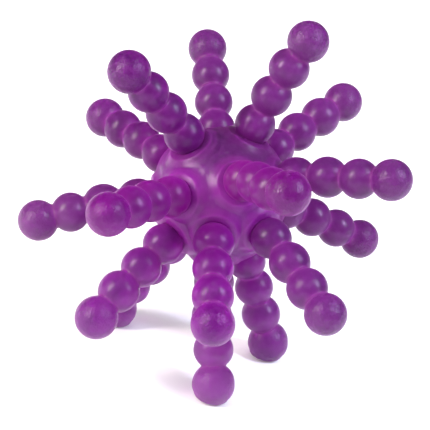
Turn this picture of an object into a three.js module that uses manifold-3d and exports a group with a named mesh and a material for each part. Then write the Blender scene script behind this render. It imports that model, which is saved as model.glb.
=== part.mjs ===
// Massage ball: a soft hollow hub with seventeen beaded fingers standing out all round it.
// Millimetres, +Z up. The ball rests on the tips of three of its fingers.
//
// hub_shell_front, hub_shell_back   two hollow halves of the round hub, joined on one flat seam
// finger_NN                         a beaded finger: four balls in a row, joined by narrow necks
// finger_root_NN                    the finger's inner end: stem through the hub wall and a button inside it
import * as THREE from 'three';
import { mergeVertices } from 'three/addons/utils/BufferGeometryUtils.js';
import Module from 'manifold-3d';

// ---- driving dimensions ----
const BEAD_R = 7.7;          // radius of every ball on a finger
const BEAD_STEP = 12.787;     // centre to centre along a finger
const BEADS = 4;             // balls on each finger
const NECK_R = 4.5;          // radius of the necks between the balls
const ROOT_D = 31.488;       // hub centre to the centre of a finger's first ball
const HUB_R = 26.0;          // outside radius of the hub
const HUB_WALL = 4.0;        // wall of the hub
const SEAM_GAP = 0.3;        // between the two hub halves
const CUP_R = 8.5;           // socket that the first ball sits in, with running clearance
const COLLAR_TOP = 26.7;     // height of the raised ring round a socket, from the hub centre
const COLLAR_R_TOP = 9.3;    // ring radius at its top
const COLLAR_R_BASE = 10.3;  // ring radius where it meets the hub
const HOLE_R = 3.7;          // hole through the wall for the stem
const STEM_R = 3.2;          // stem radius
const BUTTON_R = 5.7;        // button that holds the finger from inside
const BUTTON_OUT = 19.9;     // outer face of the button, from the hub centre
const BUTTON_IN = 18.0;      // inner face of the button, from the hub centre
const FLAT_DROP = 7.1;       // tip centre to the small flat that a resting tip is pressed to
const SIDES = 12;            // sides round a finger

// Direction in which each finger leaves the hub centre (root) and runs outward (along).
// Fingers lean a little away from straight out, as soft ones do. reach is in place of ROOT_D
// on the finger that carries most of the weight, whose first ball stands further out.
const FINGERS = [
  { id: '01', root: [-0.5729, -0.2551, 0.7789], along: [-0.5975, -0.4385, 0.6713] },
  { id: '02', root: [-0.8268, 0.5443, 0.1418], along: [-0.7092, 0.7049, -0.0106] },
  { id: '03', root: [-0.2304, 0.8183, 0.5266], along: [-0.2684, 0.7861, 0.5568] },
  { id: '04', root: [0.2288, 0.0632, 0.9714], along: [0.3133, -0.0003, 0.9497] },
  { id: '05', root: [0.5504, 0.6759, 0.4900], along: [0.5982, 0.6886, 0.4098] },
  { id: '06', root: [0.8381, -0.1829, 0.5139], along: [0.8792, -0.3406, 0.3331] },
  { id: '07', root: [0.8549, 0.4768, -0.2043], along: [0.8474, 0.4256, -0.3173] },
  { id: '08', root: [0.6989, -0.7077, -0.1032], along: [0.6277, -0.7185, -0.2997] },
  { id: '09', root: [0.5001, 0.1271, -0.8566], along: [0.4187, 0.1006, -0.9025], rests: true },
  { id: '10', root: [0.1460, -0.4803, -0.8649], along: [0.2007, -0.4798, -0.8541], reach: 33.331, rests: true },
  { id: '11', root: [0.0469, -0.9802, -0.1923], along: [0.1446, -0.9249, -0.3517] },
  { id: '12', root: [-0.5370, -0.6902, -0.4851], along: [-0.4604, -0.6881, -0.5609] },
  { id: '13', root: [-0.4822, 0.1227, -0.8674], along: [-0.4305, 0.1269, -0.8936], rests: true },
  { id: '14', root: [-0.9627, -0.1895, -0.1931], along: [-0.9081, -0.2517, -0.3347] },
  { id: '15', root: [-0.5620, -0.8046, 0.1917], along: [-0.4868, -0.8687, 0.0919] },
  { id: '16', root: [0.2367, -0.7814, 0.5774], along: [0.3808, -0.8598, 0.3403] },
  { id: '17', root: [0.1534, 0.8616, -0.4839], along: [0.1534, 0.8616, -0.4839] },
];
// normal of the flat seam between the hub halves
const SEAM = new THREE.Vector3(-0.06, -0.76, -0.65).normalize();

// ---- joining and cutting ----
const wasm = await Module();
wasm.setup();

function solidOf(geometry, matrix) {
  const g = geometry.clone();
  if (matrix) g.applyMatrix4(matrix);
  g.deleteAttribute('normal');
  g.deleteAttribute('uv');
  const m = mergeVertices(g, 1e-4);
  return new wasm.Manifold(new wasm.Mesh({
    numProp: 3,
    vertProperties: Float32Array.from(m.attributes.position.array),
    triVerts: Uint32Array.from(m.index.array),
  }));
}

function geometryOf(solid) {
  const m = solid.getMesh();
  const g = new THREE.BufferGeometry();
  g.setAttribute('position', new THREE.BufferAttribute(Float32Array.from(m.vertProperties), 3));
  g.setIndex(new THREE.BufferAttribute(Uint32Array.from(m.triVerts), 1));
  g.computeVertexNormals();
  return g;
}

// a lathe whose axis is +Z instead of +Y; profile points are [radius, height]
function turned(profile, sides) {
  const g = new THREE.LatheGeometry(profile.map(([r, z]) => new THREE.Vector2(r, z)), sides);
  return g.rotateX(Math.PI / 2);
}

const Z = new THREE.Vector3(0, 0, 1);
const vec = (a) => new THREE.Vector3(a[0], a[1], a[2]).normalize();
const turn = (d) => new THREE.Quaternion().setFromUnitVectors(Z, d);

// ---- materials ----
const rubber = (color, name) => new THREE.MeshStandardMaterial({ color, roughness: 0.42, metalness: 0, name });
const hubMaterial = rubber(0x6d1f86, 'hub_rubber');
const fingerMaterial = rubber(0x8a2a9b, 'finger_rubber');
const rootMaterial = rubber(0x7a2490, 'root_rubber');

const ball = new THREE.Group();
ball.name = 'massage_ball';

// ---- hub halves ----
let hub = solidOf(new THREE.SphereGeometry(HUB_R, 28, 14));
for (const f of FINGERS) {
  const ring = turned([
    [0, HUB_R - HUB_WALL / 2], [COLLAR_R_BASE, HUB_R - HUB_WALL / 2],
    [COLLAR_R_TOP, COLLAR_TOP], [0, COLLAR_TOP],
  ], SIDES);
  hub = hub.add(solidOf(ring, new THREE.Matrix4().makeRotationFromQuaternion(turn(vec(f.root)))));
}
hub = hub.subtract(solidOf(new THREE.SphereGeometry(HUB_R - HUB_WALL, 16, 8)));
for (const f of FINGERS) {
  const d = vec(f.root);
  const q = turn(d);
  const cup = new THREE.SphereGeometry(CUP_R, SIDES, 6).rotateX(Math.PI / 2);
  hub = hub.subtract(solidOf(cup, new THREE.Matrix4().compose(d.clone().multiplyScalar(f.reach ?? ROOT_D), q, new THREE.Vector3(1, 1, 1))));
  const hole = turned([[0, HUB_R - HUB_WALL - 3], [HOLE_R, HUB_R - HUB_WALL - 3], [HOLE_R, HUB_R + 2], [0, HUB_R + 2]], 8);
  hub = hub.subtract(solidOf(hole, new THREE.Matrix4().makeRotationFromQuaternion(q)));
}
for (const [name, side] of [['hub_shell_front', 1], ['hub_shell_back', -1]]) {
  const half = new THREE.BoxGeometry(4 * HUB_R, 4 * HUB_R, 2 * HUB_R).translate(0, 0, HUB_R + SEAM_GAP / 2);
  const keep = solidOf(half, new THREE.Matrix4().makeRotationFromQuaternion(turn(SEAM.clone().multiplyScalar(side))));
  const mesh = new THREE.Mesh(geometryOf(hub.intersect(keep)), hubMaterial);
  mesh.name = name;
  ball.add(mesh);
}

// ---- fingers and their roots ----
const onBall = (dz) => Math.sqrt(BEAD_R * BEAD_R - dz * dz);
const fingerProfile = [[0, -BEAD_R], [onBall(6.4), -6.4]];
for (let i = 0; i < BEADS; i++) {
  const z = i * BEAD_STEP;
  for (const dz of [-3.9, 0, 3.9]) fingerProfile.push([onBall(dz), z + dz]);
  if (i < BEADS - 1) fingerProfile.push([NECK_R, z + BEAD_STEP / 2]);
}
fingerProfile.push([onBall(6.4), (BEADS - 1) * BEAD_STEP + 6.4], [0, (BEADS - 1) * BEAD_STEP + BEAD_R]);

const rootProfile = (reach) => [
  [0, BUTTON_IN], [BUTTON_R, BUTTON_IN], [BUTTON_R, BUTTON_OUT], [STEM_R, BUTTON_OUT],
  [STEM_R, reach - Math.sqrt(CUP_R * CUP_R - STEM_R * STEM_R)], [0, reach - CUP_R],
];

for (const f of FINGERS) {
  const root = vec(f.root);
  const along = vec(f.along);
  const reach = f.reach ?? ROOT_D;
  const start = root.clone().multiplyScalar(reach);
  const q = turn(along);

  let shape = turned(fingerProfile, SIDES);
  if (f.rests) {
    // the tip that the ball stands on is pressed flat, level with the table
    const tip = start.clone().addScaledVector(along, (BEADS - 1) * BEAD_STEP);
    const block = new THREE.BoxGeometry(40, 40, 20).translate(tip.x, tip.y, tip.z - FLAT_DROP - 10);
    const place = new THREE.Matrix4().compose(start, q, new THREE.Vector3(1, 1, 1));
    shape = geometryOf(solidOf(shape).subtract(solidOf(block, place.clone().invert())));
  }
  const finger = new THREE.Mesh(shape, fingerMaterial);
  finger.name = `finger_${f.id}`;
  finger.position.copy(start);
  finger.quaternion.copy(q);
  ball.add(finger);

  const anchor = new THREE.Mesh(turned(rootProfile(reach), 8), rootMaterial);
  anchor.name = `finger_root_${f.id}`;
  anchor.quaternion.copy(turn(root));
  ball.add(anchor);
}

// origin: centre of the bounding box in X and Y, at the table
ball.updateMatrixWorld(true);
const box = new THREE.Box3().setFromObject(ball, true);
ball.position.set(-(box.min.x + box.max.x) / 2, -(box.min.y + box.max.y) / 2, -box.min.z);
ball.updateMatrixWorld(true);

export default ball;
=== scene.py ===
import math

import bmesh
import bpy
import numpy as np
from mathutils import Matrix, Vector


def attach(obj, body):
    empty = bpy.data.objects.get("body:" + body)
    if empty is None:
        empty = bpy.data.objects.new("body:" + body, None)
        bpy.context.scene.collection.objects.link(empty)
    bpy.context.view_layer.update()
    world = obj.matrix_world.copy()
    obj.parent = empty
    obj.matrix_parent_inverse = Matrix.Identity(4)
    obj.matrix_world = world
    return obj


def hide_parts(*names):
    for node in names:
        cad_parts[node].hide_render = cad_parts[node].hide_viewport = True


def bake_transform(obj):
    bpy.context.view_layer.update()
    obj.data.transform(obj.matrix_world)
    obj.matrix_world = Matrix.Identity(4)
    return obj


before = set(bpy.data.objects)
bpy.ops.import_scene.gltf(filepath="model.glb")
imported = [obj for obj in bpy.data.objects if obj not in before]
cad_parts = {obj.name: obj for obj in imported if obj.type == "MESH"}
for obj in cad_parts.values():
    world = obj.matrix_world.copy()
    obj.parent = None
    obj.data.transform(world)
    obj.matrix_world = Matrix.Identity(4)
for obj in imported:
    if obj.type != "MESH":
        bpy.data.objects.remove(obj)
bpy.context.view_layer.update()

MM = 0.001
# ---- the same dimensions as the CAD, in millimetres ----
CENTRE = np.array([2.4815, 3.0108, 68.6943])  # hub centre in the row frame
HUB_R, HUB_WALL = 26.0, 4.0
BEAD_R, TIP_R, NECK_R = 7.66, 7.86, 4.55
STEP = 12.787
STEM_R, BUTTON_R, BUTTON_IN, BUTTON_OUT = 3.2, 5.6, 18.05, 19.85
SEAM = np.array([-0.06, -0.76, -0.65]) / np.linalg.norm([-0.06, -0.76, -0.65])

# id, direction of the root, direction along the finger, hub centre to the first ball, stands on the
# table, and how far soft sag puts balls 2, 3 and 4 off the straight line
FINGERS = [
    ("01", (-0.5729, -0.2551, 0.7789), (-0.5975, -0.4385, 0.6713), 31.488, False, ((0.02, 0.12, 0.26), (0.13, 0.04, 0.09), (0.07, -0.22, -0.5))),
    ("02", (-0.8268, 0.5443, 0.1418), (-0.7092, 0.7049, -0.0106), 31.488, False, ((-0.14, 0.13, 0.29), (0.2, -0.04, -0.09), (0.51, -0.14, -0.31))),
    ("03", (-0.2304, 0.8183, 0.5266), (-0.2684, 0.7861, 0.5568), 31.488, False, ((0.32, -0.18, -0.4), (0.03, 0, 0.01), (-0.24, 0.11, 0.25))),
    ("04", (0.2288, 0.0632, 0.9714), (0.3133, -0.0003, 0.9497), 31.488, False, ((-0.34, 0.14, 0.31), (-0.28, 0.04, 0.09), (0.33, -0.21, -0.47))),
    ("05", (0.5504, 0.6759, 0.4900), (0.5982, 0.6886, 0.4098), 31.488, False, ((-0.59, 0.01, 0.02), (-0.07, -0.02, -0.05), (0.25, -0.08, -0.18))),
    ("06", (0.8381, -0.1829, 0.5139), (0.8792, -0.3406, 0.3331), 31.488, False, ((0.01, 0.13, 0.28), (-0.12, -0.06, -0.13), (-0.17, -0.17, -0.38))),
    ("07", (0.8549, 0.4768, -0.2043), (0.8474, 0.4256, -0.3173), 31.488, False, ((0.02, 0.29, 0.65), (0.02, 0.05, 0.11), (-0.02, -0.23, -0.52))),
    ("08", (0.6989, -0.7077, -0.1032), (0.6277, -0.7185, -0.2997), 31.488, False, ((0.22, 0.07, 0.15), (0.07, -0.11, -0.25), (-0.07, -0.12, -0.26))),
    ("09", (0.5001, 0.1271, -0.8566), (0.4187, 0.1006, -0.9025), 31.488, True, ((-0.07, 0.22, 0.49), (-0.19, 0.14, 0.3), (-0, -0.21, -0.47))),
    ("10", (0.1460, -0.4803, -0.8649), (0.2007, -0.4798, -0.8541), 33.331, True, ((-0.6, -0.17, -0.38), (0.18, -0.15, -0.33), (0.37, 0.11, 0.25))),
    ("11", (0.0469, -0.9802, -0.1923), (0.1446, -0.9249, -0.3517), 31.488, False, ((-0.13, 0.11, 0.25), (0.04, -0.05, -0.11), (0.2, -0.15, -0.34))),
    ("12", (-0.5370, -0.6902, -0.4851), (-0.4604, -0.6881, -0.5609), 31.488, False, ((-0.05, 0.1, 0.23), (-0.05, 0.1, 0.22), (0.08, -0.2, -0.45))),
    ("13", (-0.4822, 0.1227, -0.8674), (-0.4305, 0.1269, -0.8936), 31.488, True, ((0, 0, 0), (-0.79, 0.02, 0.04), (0.65, -0.02, -0.04))),
    ("14", (-0.9627, -0.1895, -0.1931), (-0.9081, -0.2517, -0.3347), 31.488, False, ((-0.8, 0.15, 0.32), (-0.65, -0.09, -0.21), (-0.06, -0.25, -0.55))),
    ("15", (-0.5620, -0.8046, 0.1917), (-0.4868, -0.8687, 0.0919), 31.488, False, ((-0.19, 0.1, 0.23), (0.32, 0.09, 0.21), (-0.02, -0.15, -0.34))),
    ("16", (0.2367, -0.7814, 0.5774), (0.3808, -0.8598, 0.3403), 31.488, False, ((-0.39, 0.26, 0.58), (-0.26, -0.13, -0.3), (0.5, -0.13, -0.3))),
    ("17", (0.1534, 0.8616, -0.4839), (0.1534, 0.8616, -0.4839), 31.488, False, ((0, 0, 0), (0, 0, 0), (0, 0, 0))),
]


def unit(v):
    v = np.asarray(v, float)
    return v / np.linalg.norm(v)


def smoothstep(a, b, x):
    t = np.clip((x - a) / (b - a), 0.0, 1.0)
    return t * t * (3.0 - 2.0 * t)


def smooth_max(a, b, k):
    h = np.clip(0.5 + 0.5 * (a - b) / k, 0.0, 1.0)
    return b * (1.0 - h) + a * h + k * h * (1.0 - h)


def smooth_min(a, b, k):
    return -smooth_max(-a, -b, k)


def wobble(p, seed, freq):
    """A slow, seeded wave field over points p: sum of a few sines, about -1 to 1."""
    rng = np.random.default_rng(seed)
    out = np.zeros(len(p))
    for _ in range(5):
        d = rng.normal(size=3)
        d /= np.linalg.norm(d)
        f = freq * rng.uniform(0.6, 1.5)
        out += np.sin(p @ d * f + rng.uniform(0, 6.283))
    return out / 3.0


def mesh_object(name, verts_mm, faces, smooth=True):
    me = bpy.data.meshes.new(name)
    me.from_pydata((np.asarray(verts_mm) * MM).tolist(), [], faces)
    me.validate()
    if smooth:
        me.polygons.foreach_set("use_smooth", [True] * len(me.polygons))
    me.update()
    ob = bpy.data.objects.new(name, me)
    bpy.context.scene.collection.objects.link(ob)
    return ob


def float_attribute(ob, name, values):
    at = ob.data.attributes.new(name, "FLOAT", "POINT")
    at.data.foreach_set("value", np.asarray(values, np.float32))


# ---------------------------------------------------------------- materials
def rubber(name, seed, tone, hub=False):
    """Translucent, slightly frosted purple gel rubber."""
    m = bpy.data.materials.new(name)
    m.use_nodes = True
    nt = m.node_tree
    N, L = nt.nodes, nt.links
    N.clear()
    out = N.new("ShaderNodeOutputMaterial")
    b = N.new("ShaderNodeBsdfPrincipled")
    L.new(b.outputs["BSDF"], out.inputs["Surface"])
    co = N.new("ShaderNodeTexCoord")

    def noise(scale, detail, rough, vector=None, dist=0.0):
        n = N.new("ShaderNodeTexNoise")
        n.inputs["Scale"].default_value = scale
        n.inputs["Detail"].default_value = detail
        n.inputs["Roughness"].default_value = rough
        n.inputs["Distortion"].default_value = dist
        L.new(vector or co.outputs["Object"], n.inputs["Vector"])
        return n

    def math_node(op, a, c=None, clamp=False):
        n = N.new("ShaderNodeMath")
        n.operation = op
        n.use_clamp = clamp
        for i, x in enumerate((a, c)):
            if x is None:
                continue
            if isinstance(x, (int, float)):
                n.inputs[i].default_value = x
            else:
                L.new(x, n.inputs[i])
        return n.outputs[0]

    # pigment on the fingers: saturated violet deep near the hub, milkier towards the tips, with soft clouds in it;
    # on the hub this ramp is painted light instead (below)
    along = N.new("ShaderNodeAttribute")
    along.attribute_name = "along"
    ramp = N.new("ShaderNodeValToRGB")
    el = ramp.color_ramp.elements
    if hub:
        # hub: painted light, a brighter magenta near the finger roots standing in for light carried through the
        # roots into the shaded crevices
        stops = [(0.0, (0.170, 0.012, 0.215)), (1.0, (0.235, 0.002, 0.270))]
    else:
        stops = [(0.0, tone[0]), (0.38, tone[1]), (1.0, tone[2])]
    el[0].position, el[0].color = stops[0][0], (*stops[0][1], 1)
    el[1].position, el[1].color = stops[-1][0], (*stops[-1][1], 1)
    for p, c in stops[1:-1]:
        e = el.new(p)
        e.color = (*c, 1)
    clouds = noise(95.0, 3.0, 0.55, dist=0.6)
    shift = math_node("MULTIPLY_ADD", clouds.outputs["Fac"], CLOUDS)
    shift.node.inputs[2].default_value = -CLOUDS / 2
    L.new(math_node("ADD", along.outputs["Fac"], shift, clamp=True), ramp.inputs["Fac"])
    # each finger has its own brightness ("tone") and chalkiness ("milk"); the brightness is painted light and
    # shade, set finger by finger to how lit each one looks; on the hub "tone" is painted shade at the top
    def attribute(name):
        n = N.new("ShaderNodeAttribute")
        n.attribute_name = name
        return n.outputs["Fac"]

    def blend_to(colour, fac, other):
        n = N.new("ShaderNodeMix")
        n.data_type = "RGBA"
        n.blend_type = "MIX"
        L.new(fac, n.inputs["Factor"])
        L.new(colour, n.inputs[6])
        n.inputs[7].default_value = (*other, 1)
        return n.outputs[2]

    vm = N.new("ShaderNodeVectorMath")
    vm.operation = "SCALE"
    L.new(ramp.outputs["Color"], vm.inputs[0])
    L.new(attribute("tone"), vm.inputs["Scale"])
    chalk = math_node("MULTIPLY_ADD", along.outputs["Fac"], 1.25)
    chalk.node.inputs[2].default_value = 0.25
    if hub:
        colour = blend_to(vm.outputs["Vector"], attribute("milk"), MILK)
    else:
        colour = blend_to(vm.outputs["Vector"], math_node("MULTIPLY", attribute("milk"), chalk), MILK)
    warm = N.new("ShaderNodeMix")
    warm.data_type = "RGBA"
    warm.blend_type = "MULTIPLY"
    L.new(attribute("warm"), warm.inputs["Factor"])
    L.new(colour, warm.inputs[6])
    warm.inputs[7].default_value = (1.0, 0.5, 0.80, 1)
    colour = warm.outputs[2]
    # painted light: pale pink lines painted into the necks between the balls and in rings round the roots on the
    # hub, standing in for the highlights there
    colour = blend_to(colour, math_node("MULTIPLY", attribute("painted_light_lines"), LIGHT_LINE_STRENGTH), (0.62, 0.10, 0.60))
    # fine milky specks
    specks = noise(620.0, 3.0, 0.6)
    sr = N.new("ShaderNodeValToRGB")
    sr.color_ramp.elements[0].position = 0.46
    sr.color_ramp.elements[1].position = 0.74
    L.new(specks.outputs["Fac"], sr.inputs["Fac"])
    colour = blend_to(colour, math_node("MULTIPLY", sr.outputs["Color"], 0.20), MILK)
    L.new(colour, b.inputs["Base Color"])

    b.inputs["Subsurface Weight"].default_value = SSS
    b.inputs["Subsurface Radius"].default_value = (1.0, 0.22, 1.1)
    b.inputs["Subsurface Scale"].default_value = SSS_SCALE
    b.inputs["Subsurface Anisotropy"].default_value = 0.3
    b.inputs["IOR"].default_value = 1.40
    b.inputs["Specular IOR Level"].default_value = SPEC
    g = N.new("ShaderNodeBsdfPrincipled")
    gv = N.new("ShaderNodeVectorMath")
    gv.operation = "SCALE"
    gm = N.new("ShaderNodeMix")
    gm.data_type = "RGBA"
    gm.inputs[6].default_value = (0.88, 0.06, 0.78, 1)
    gm.inputs[7].default_value = (0.90, 0.50, 0.90, 1)
    L.new(math_node("MULTIPLY", attribute("milk"), 4.0, clamp=True), gm.inputs["Factor"])
    L.new(gm.outputs[2], gv.inputs[0])
    L.new(attribute("tone"), gv.inputs["Scale"])
    L.new(gv.outputs["Vector"], g.inputs["Base Color"])
    g.inputs["Transmission Weight"].default_value = 1.0
    g.inputs["IOR"].default_value = 1.36
    g.inputs["Specular IOR Level"].default_value = SPEC
    ms = N.new("ShaderNodeMixShader")
    ms.inputs["Fac"].default_value = TRANS
    L.new(b.outputs["BSDF"], ms.inputs[1])
    L.new(g.outputs["BSDF"], ms.inputs[2])
    L.new(ms.outputs["Shader"], out.inputs["Surface"])
    va = N.new("ShaderNodeVolumeAbsorption")
    va.inputs["Color"].default_value = (0.80, 0.0, 0.84, 1)
    va.inputs["Density"].default_value = DENSITY
    L.new(va.outputs["Volume"], out.inputs["Volume"])
    b.inputs["Sheen Weight"].default_value = SHEEN
    b.inputs["Sheen Roughness"].default_value = 0.35
    b.inputs["Sheen Tint"].default_value = (0.88, 0.10, 0.82, 1)
    # frosted skin: the gloss comes and goes
    r = noise(260.0, 4.0, 0.6)
    mr = N.new("ShaderNodeMapRange")
    mr.inputs["From Min"].default_value = 0.3
    mr.inputs["From Max"].default_value = 0.7
    mr.inputs["To Min"].default_value = ROUGH[0]
    mr.inputs["To Max"].default_value = ROUGH[1]
    L.new(r.outputs["Fac"], mr.inputs["Value"])
    wet = N.new("ShaderNodeAttribute")
    wet.attribute_name = "tip"
    gloss = math_node("SUBTRACT", mr.outputs["Result"], math_node("MULTIPLY", wet.outputs["Fac"], 0.09))
    L.new(gloss, b.inputs["Roughness"])
    L.new(mr.outputs["Result"], g.inputs["Roughness"])

    # surface: fine orange peel everywhere, small wrinkles on the tips
    peel = noise(430.0, 3.0, 0.5)
    tip = N.new("ShaderNodeAttribute")
    tip.attribute_name = "tip"
    wr = noise(1000.0, 3.0, 0.6, dist=1.0)
    wr2 = N.new("ShaderNodeTexVoronoi")
    wr2.feature = "F1"
    wr2.inputs["Scale"].default_value = 1250.0
    L.new(co.outputs["Object"], wr2.inputs["Vector"])
    wsum = math_node("ADD", wr.outputs["Fac"], math_node("MULTIPLY", wr2.outputs["Distance"], 0.6))
    fine = noise(1500.0, 2.0, 0.5)
    wsum = math_node("ADD", wsum, math_node("MULTIPLY", fine.outputs["Fac"], 0.45))
    grain = math_node("ADD", math_node("MULTIPLY", peel.outputs["Fac"], 0.10), math_node("MULTIPLY", fine.outputs["Fac"], 0.035))
    h = math_node("ADD", grain, math_node("MULTIPLY", wsum, math_node("MULTIPLY", tip.outputs["Fac"], 1.35)))
    bump = N.new("ShaderNodeBump")
    bump.inputs["Strength"].default_value = 0.35
    bump.inputs["Distance"].default_value = 0.0004
    L.new(h, bump.inputs["Height"])
    L.new(bump.outputs["Normal"], b.inputs["Normal"])
    L.new(bump.outputs["Normal"], g.inputs["Normal"])
    return m


SSS, SSS_SCALE, SHEEN, ROUGH = 0.75, 0.006, 0.30, (0.29, 0.40)
TRANS, DENSITY, SPEC = 0.40, 190.0, 0.32
CLOUDS, LIGHT_LINE_STRENGTH, MILK = 0.16, 0.30, (0.40, 0.16, 0.44)
# id: (tone, milk), how bright and how chalky each finger is; the brightness is painted light and shade, set finger
# by finger to how lit each one looks
FINGER_SHADE_AND_MILK = {"01": (0.64, 0.02), "02": (0.61, 0.08), "03": (0.50, 0.10), "04": (0.57, 0.10), "05": (0.53, 0.12), "06": (0.52, 0.09),
       "07": (0.51, 0.10), "08": (0.62, 0.09), "09": (0.70, 0.16), "10": (0.86, 0.28), "11": (1.12, 0.01), "12": (0.87, 0.10),
       "13": (1.06, 0.25), "14": (0.50, 0.17), "15": (1.18, 0.00), "16": (1.12, 0.00), "17": (0.70, 0.10)}
WARM = {"15": 1.0, "16": 1.0, "11": 0.4, "14": 0.2, "02": 0.2, "10": 0.2, "12": 0.1}
# linear colours at the root, a third of the way out, and the tip
TONE = [(0.196, 0.001, 0.236), (0.150, 0.002, 0.196), (0.118, 0.003, 0.162)]
finger_mat = rubber("finger_rubber_gel", 3, TONE)
hub_mat = rubber("hub_rubber_gel", 5, TONE, hub=True)


# ---------------------------------------------------------------- hub
def hub_surface(d):
    """Radius of the hub's skin in direction d (n x 3 unit vectors), with a raised ring and a cup at every root."""
    r = np.full(len(d), HUB_R) + 0.10 * wobble(d, 11, 4.0)
    ring = np.zeros(len(d))
    for _, u, _, reach, _, _ in FINGERS:
        u = unit(u)
        c = np.clip(d @ u, -1, 1)
        s = np.sqrt(1 - c * c)
        x = np.where(c > 0, r * s, 99.0)
        ring = np.maximum(ring, 1.3 * np.clip((12.8 - x) / 4.6, 0, 1) ** 2)
        ring = np.maximum(ring, 0.12 * smoothstep(14.4, 13.4, x) * smoothstep(12.0, 13.2, x))
    r = r + ring
    for _, u, _, reach, _, _ in FINGERS:
        u = unit(u)
        c = np.clip(d @ u, -1, 1)
        s2 = 1 - c * c
        cup = BEAD_R + 0.05
        inside = (cup * cup - reach * reach * s2 > 0) & (c > 0)
        low = np.where(inside, reach * c - np.sqrt(np.maximum(cup * cup - reach * reach * s2, 0)), 99.0)
        r = np.where(low < 90, smooth_min(r, low, 0.4), r)
    return r


def hub_half(name, side):
    bm = bmesh.new()
    bmesh.ops.create_icosphere(bm, subdivisions=7, radius=1.0)
    d = np.array([v.co for v in bm.verts])
    d /= np.linalg.norm(d, axis=1)[:, None]
    p = d * hub_surface(d)[:, None]
    for v, q in zip(bm.verts, p):
        v.co = Vector(q)
    n = Vector(SEAM * side)
    bmesh.ops.bisect_plane(bm, geom=bm.verts[:] + bm.edges[:] + bm.faces[:], plane_co=n * 0.004, plane_no=n, clear_inner=True, clear_outer=False)
    outer_loop = [e for e in bm.edges if e.is_boundary]
    inner = bmesh.new()
    bmesh.ops.create_icosphere(inner, subdivisions=5, radius=HUB_R - HUB_WALL)
    bmesh.ops.bisect_plane(inner, geom=inner.verts[:] + inner.edges[:] + inner.faces[:], plane_co=n * 0.004, plane_no=n, clear_inner=True, clear_outer=False)
    bmesh.ops.reverse_faces(inner, faces=inner.faces[:])
    tmp = bpy.data.meshes.new("tmp")
    inner.to_mesh(tmp)
    inner.free()
    bm.from_mesh(tmp)
    bpy.data.meshes.remove(tmp)
    loops = [e for e in bm.edges if e.is_boundary]
    bmesh.ops.bridge_loops(bm, edges=loops)
    bmesh.ops.triangulate(bm, faces=[f for f in bm.faces if len(f.verts) > 4])
    bmesh.ops.recalc_face_normals(bm, faces=bm.faces[:])
    for e in bm.edges:
        if len(e.link_faces) == 2 and e.calc_face_angle(0.0) > 0.8 and abs(e.verts[0].co.dot(n)) < 0.05 and abs(e.verts[1].co.dot(n)) < 0.05:
            e.smooth = False
    for v in bm.verts:
        v.co = (v.co + Vector(CENTRE)) * MM
    me = bpy.data.meshes.new(name)
    bm.to_mesh(me)
    bm.free()
    me.polygons.foreach_set("use_smooth", [True] * len(me.polygons))
    ob = bpy.data.objects.new(name, me)
    bpy.context.scene.collection.objects.link(ob)
    co = np.array([v.co for v in me.vertices]) / MM - CENTRE
    rr = np.linalg.norm(co, axis=1)
    dd = co / rr[:, None]
    near = np.zeros(len(co))
    line = np.zeros(len(co))
    # random patchiness of the painted rim light below
    rim_light_patchiness = 0.55 + 0.45 * wobble(dd, 21, 5.0)
    for _, u, _, reach, _, _ in FINGERS:
        c = np.clip(dd @ unit(u), -1, 1)
        x = np.where(c > 0, HUB_R * np.sqrt(1 - c * c), 99.0)
        # near: where the hub colour is painted brighter magenta, painted light round each root (the material reads
        # it as "along")
        near = np.maximum(near, smoothstep(13.5, 7.5, x))
        # painted highlight: pale rings round every root, the innermost lightening the crevice, the outer ones on
        # the collar
        line = np.maximum(line, np.exp(-((x - 9.9) / 0.45) ** 2) + 0.4 * np.exp(-((x - 12.9) / 0.35) ** 2) + 1.2 * np.exp(-((x - 8.2) / 0.55) ** 2))
    line = np.clip(0.55 * line * rim_light_patchiness, 0, 1)
    float_attribute(ob, "along", near)
    float_attribute(ob, "tip", np.full(len(co), 0.12))
    # tone on the hub: painted shade, darker towards the top under the upper fingers
    float_attribute(ob, "tone", 1.0 - 0.52 * smoothstep(0.25, 0.85, dd @ unit((0.0, 0.2, 1.0))))
    float_attribute(ob, "milk", np.full(len(co), 0.06))
    float_attribute(ob, "painted_light_lines", 0.85 * line)
    float_attribute(ob, "warm", np.full(len(co), 0.1))
    me.materials.append(hub_mat)
    return ob


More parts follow.
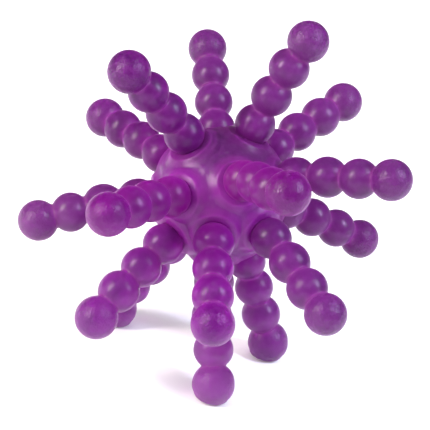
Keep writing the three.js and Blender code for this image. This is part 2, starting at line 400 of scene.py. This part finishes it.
# ---------------------------------------------------------------- fingers
def finger(fid, root, along, reach, rests, sag):
    rng = np.random.default_rng(100 + int(fid))
    u, v = unit(root), unit(along)
    radii = [BEAD_R, BEAD_R * rng.uniform(0.985, 1.012), BEAD_R * rng.uniform(0.985, 1.012), TIP_R * rng.uniform(0.99, 1.012)]
    if rests:
        radii[3] = TIP_R * 1.02
    at = [i * STEP for i in range(4)]
    # stations along the centre line, s = 0 at the centre of the first ball
    st = [-(reach - BUTTON_IN) + x for x in (0.0, 0.02, 0.15, 0.4, 0.9, 1.4, 1.65, 1.78, 1.8)]
    st += list(np.linspace(BUTTON_OUT - reach + 0.15, -BEAD_R - 0.2, 8))
    for i in range(4):
        lo = math.pi - (0.12 if i == 0 else 0.72)
        hi = 0.72 if i < 3 else 0.0
        st += [at[i] + radii[i] * math.cos(a) for a in np.linspace(lo, hi, 26 if i in (0, 3) else 22)]
        if i < 3:
            mid = at[i] + STEP / 2
            st += [mid - 0.35, mid, mid + 0.35]
    s = np.unique(np.round(np.array(sorted(st)), 5))
    s = s[(s <= at[3] + radii[3])]
    # radius of the moulding at each station
    r = np.full(len(s), -50.0)
    for i in range(4):
        q = radii[i] ** 2 - (s - at[i]) ** 2
        ball = np.sqrt(np.maximum(q, 0.0))
        ball = np.where(q > 0, ball, -50.0)
        r = np.maximum(r, ball) if i == 0 else np.where((r > -10) & (ball > -10), smooth_max(r, ball, 0.55), np.maximum(r, ball))
    neck = np.where((s > 0) & (s < at[3]), NECK_R, -50.0)
    r = np.where(neck > 0, smooth_max(r, neck, 0.7), r)
    stem = (s < -2.0) & (s > BUTTON_OUT - reach)
    r = np.where(stem, smooth_max(np.maximum(r, 0), STEM_R, 0.8), r)
    b0, b1 = BUTTON_IN - reach, BUTTON_OUT - reach
    inb = (s <= b1)
    edge = 0.55
    t = np.minimum(s - b0, b1 - s)
    br = BUTTON_R - edge + np.sqrt(np.maximum(edge ** 2 - np.maximum(edge - t, 0) ** 2, 0))
    r = np.where(inb, br, r)
    r = np.where(inb & (s <= b0 + 1e-6), 0.0, r)
    r[-1] = 0.0
    # centre line: along u behind the first ball, turning to v in front of it
    def tangent(x):
        w = smoothstep(-3.0, 4.0, x)
        return unit(u * (1 - w) + v * w)
    fine = np.linspace(s[0], s[-1], 600)
    T = np.array([tangent(x) for x in fine])
    P = np.concatenate([[np.zeros(3)], np.cumsum((T[1:] + T[:-1]) / 2 * np.diff(fine)[:, None], axis=0)])
    zero = np.array([np.interp(0.0, fine, P[:, k]) for k in range(3)])
    P = P - zero
    far = np.array([np.interp(at[3], fine, P[:, k]) for k in range(3)])
    # bring the tip back on the finger's own line, then add the sag
    knots = np.array([-20.0, 0.0] + at[1:] + [at[3] + 10])
    off = [np.zeros(3), np.zeros(3)]
    for i in range(1, 4):
        here = np.array([np.interp(at[i], fine, P[:, k]) for k in range(3)])
        o = np.array(sag[i - 1], float)
        if rests and i == 3:
            o[2] = 0.0
        off.append(v * at[i] - here + o)
    off.append(off[-1])
    off = np.array(off)
    d = np.zeros_like(P)
    for k in range(3):
        lin = np.interp(fine, knots, off[:, k])
        ker = np.hanning(61)
        pad = np.pad(lin, 30, mode="edge")
        d[:, k] = np.convolve(pad, ker / ker.sum(), mode="valid")
    P = P + d
    T = np.gradient(P, fine, axis=0)
    T /= np.linalg.norm(T, axis=1)[:, None]
    pos = np.array([[np.interp(x, fine, P[:, k]) for k in range(3)] for x in s])
    tan = np.array([unit([np.interp(x, fine, T[:, k]) for k in range(3)]) for x in s])
    side = unit(np.cross(u, [0.3, 0.5, 0.81]))
    sides = 44
    verts, faces, al, tp, cr = [], [], [], [], []
    centre = CENTRE + u * reach
    total = at[3] + TIP_R
    ang = np.arange(sides) * 2 * math.pi / sides
    for k, x in enumerate(s):
        side = unit(side - tan[k] * (side @ tan[k]))
        other = np.cross(tan[k], side)
        if r[k] <= 1e-6:
            ring = [centre + pos[k]]
        else:
            ring = centre + pos[k] + r[k] * (np.cos(ang)[:, None] * side + np.sin(ang)[:, None] * other)
        start = len(verts)
        verts.extend(ring)
        al += [max(0.0, (x + BEAD_R) / (total + BEAD_R))] * len(ring)
        tp += [float(smoothstep(at[2] + 4.0, at[3] - 1.0, np.array(x)))] * len(ring)
        # mask for the painted light lines in the necks between the balls
        cr += [sum(math.exp(-((x - a - STEP / 2) / 0.75) ** 2) for a in at[:3])] * len(ring)
        if k:
            a0, na = prev
            nb = len(ring)
            if na == 1:
                faces += [(a0, start + (j + 1) % sides, start + j) for j in range(sides)]
            elif nb == 1:
                faces += [(a0 + j, a0 + (j + 1) % sides, start) for j in range(sides)]
            else:
                faces += [(a0 + j, a0 + (j + 1) % sides, start + (j + 1) % sides, start + j) for j in range(sides)]
        prev = (start, len(ring))
    verts = np.array(verts)
    # soft mouldings are never quite true
    rad = verts - (centre + v * 0)
    amp = 0.07 * smoothstep(2.0, 12.0, np.linalg.norm(rad, axis=1))
    nrm = rad / np.maximum(np.linalg.norm(rad, axis=1), 1e-6)[:, None]
    verts = verts + nrm * (amp * wobble(verts, 500 + int(fid), 0.35))[:, None]
    if rests:
        # pressed on the table: flat underneath, a little fuller just above it
        tipc = centre + v * at[3]
        h = verts[:, 2]
        out_v = verts[:, :2] - tipc[:2]
        dist = np.linalg.norm(verts - tipc, axis=1)
        w = smoothstep(11.0, 8.0, dist) * smoothstep(9.0, 2.5, h)
        low = smoothstep(11.0, 8.0, dist) * smoothstep(2.8, 0.0, h)
        verts[:, :2] += out_v * (0.06 * w + 0.20 * low)[:, None]
        verts[:, 2] = np.where(h < 1.2, 1.2 * smoothstep(-1.0, 1.2, h) ** 1.0 * 1.0, h)
        verts[:, 2] = np.maximum(verts[:, 2], 0.0)
    ob = mesh_object("finger_moulding_" + fid, verts, faces)
    bm = bmesh.new()
    bm.from_mesh(ob.data)
    bmesh.ops.recalc_face_normals(bm, faces=bm.faces[:])
    bm.to_mesh(ob.data)
    bm.free()
    float_attribute(ob, "along", al)
    float_attribute(ob, "tip", tp)
    # tone: painted light and shade for this finger
    float_attribute(ob, "tone", np.full(len(al), FINGER_SHADE_AND_MILK[fid][0]))
    float_attribute(ob, "milk", np.full(len(al), FINGER_SHADE_AND_MILK[fid][1]))
    float_attribute(ob, "painted_light_lines", cr)
    float_attribute(ob, "warm", np.full(len(al), WARM.get(fid, 0.0)))
    ob.data.materials.append(finger_mat)
    # the bend is all inside the first ball, which only turns on itself, so no ball is pulled out of round
    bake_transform(ob)
    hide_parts("finger_" + fid, "finger_root_" + fid)
    return ob


for name, side, node in (("hub_front_skin", 1, "hub_shell_front"), ("hub_back_skin", -1, "hub_shell_back")):
    h = hub_half(name, side)
    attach(h, "hub")
    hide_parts(node)
for f in FINGERS:
    finger(*f)

# ---------------------------------------------------------------- stage, camera, lights
RIGHT = np.array([0.97672, 0.08764, 0.19579])
UP = np.array([-0.21452, 0.39905, 0.89148])
BACK = np.array([0.0, -0.91273, 0.40856])

me = bpy.data.meshes.new("floor")
bm = bmesh.new()
bmesh.ops.create_grid(bm, x_segments=2, y_segments=2, size=6.0)
bm.to_mesh(me)
bm.free()
floor = bpy.data.objects.new("floor", me)
bpy.context.scene.collection.objects.link(floor)
fm = bpy.data.materials.new("floor_paper")
fm.use_nodes = True
fb = fm.node_tree.nodes["Principled BSDF"]
fb.inputs["Base Color"].default_value = (0.93, 0.93, 0.93, 1)
fb.inputs["Roughness"].default_value = 0.9
fb.inputs["Specular IOR Level"].default_value = 0.1
me.materials.append(fm)

cam_d = bpy.data.cameras.new("camera")
cam = bpy.data.objects.new("camera", cam_d)
bpy.context.scene.collection.objects.link(cam)
PX = 0.384 * MM
dist = 1500 * PX
aim = CENTRE * MM - RIGHT * 5.0 * PX - UP * 20.0 * PX
loc = aim + BACK * dist
m = Matrix(((RIGHT[0], UP[0], BACK[0], loc[0]), (RIGHT[1], UP[1], BACK[1], loc[1]), (RIGHT[2], UP[2], BACK[2], loc[2]), (0, 0, 0, 1)))
cam.matrix_world = m
cam_d.sensor_width = 36.0
cam_d.lens = 36.0 * 1500 / 430
cam_d.clip_start, cam_d.clip_end = 0.01, 20.0
bpy.context.scene.camera = cam


def softbox(name, direction, distance, size, watts, color):
    d = unit(RIGHT * direction[0] + UP * direction[1] + BACK * direction[2])
    l = bpy.data.lights.new(name, "AREA")
    l.shape = "RECTANGLE"
    l.size, l.size_y = size
    l.energy = watts
    l.color = color
    o = bpy.data.objects.new(name, l)
    p = Vector(CENTRE * MM + d * distance)
    o.location = p
    z = Vector(d)
    x = Vector((0, 0, 1)).cross(z).normalized()
    y = z.cross(x)
    o.matrix_world = Matrix(((x[0], y[0], z[0], p[0]), (x[1], y[1], z[1], p[1]), (x[2], y[2], z[2], p[2]), (0, 0, 0, 1)))
    bpy.context.scene.collection.objects.link(o)
    return o


softbox("softbox_left", (-0.70, 0.38, 0.62), 1.0, (0.15, 0.58), 12.0, (1.0, 0.90, 0.88))
fill = softbox("softbox_fill", (0.05, 0.45, 0.89), 1.4, (1.3, 1.3), 5.0, (1.0, 0.97, 1.0))
fill.visible_glossy = False
softbox("softbox_right", (0.76, 0.40, 0.51), 1.0, (0.13, 0.50), 9.5, (0.74, 0.78, 1.0))

w = bpy.data.worlds.new("world")
bpy.context.scene.world = w
w.use_nodes = True
bg = w.node_tree.nodes["Background"]
bg.inputs["Color"].default_value = (1.0, 1.0, 1.0, 1)
bg.inputs["Strength"].default_value = 1.0
w.cycles_visibility.glossy = False

sc = bpy.context.scene
sc.view_settings.view_transform = "Standard"
sc.view_settings.look = "None"
sc.view_settings.exposure = 0.0
sc.view_settings.gamma = 1.0
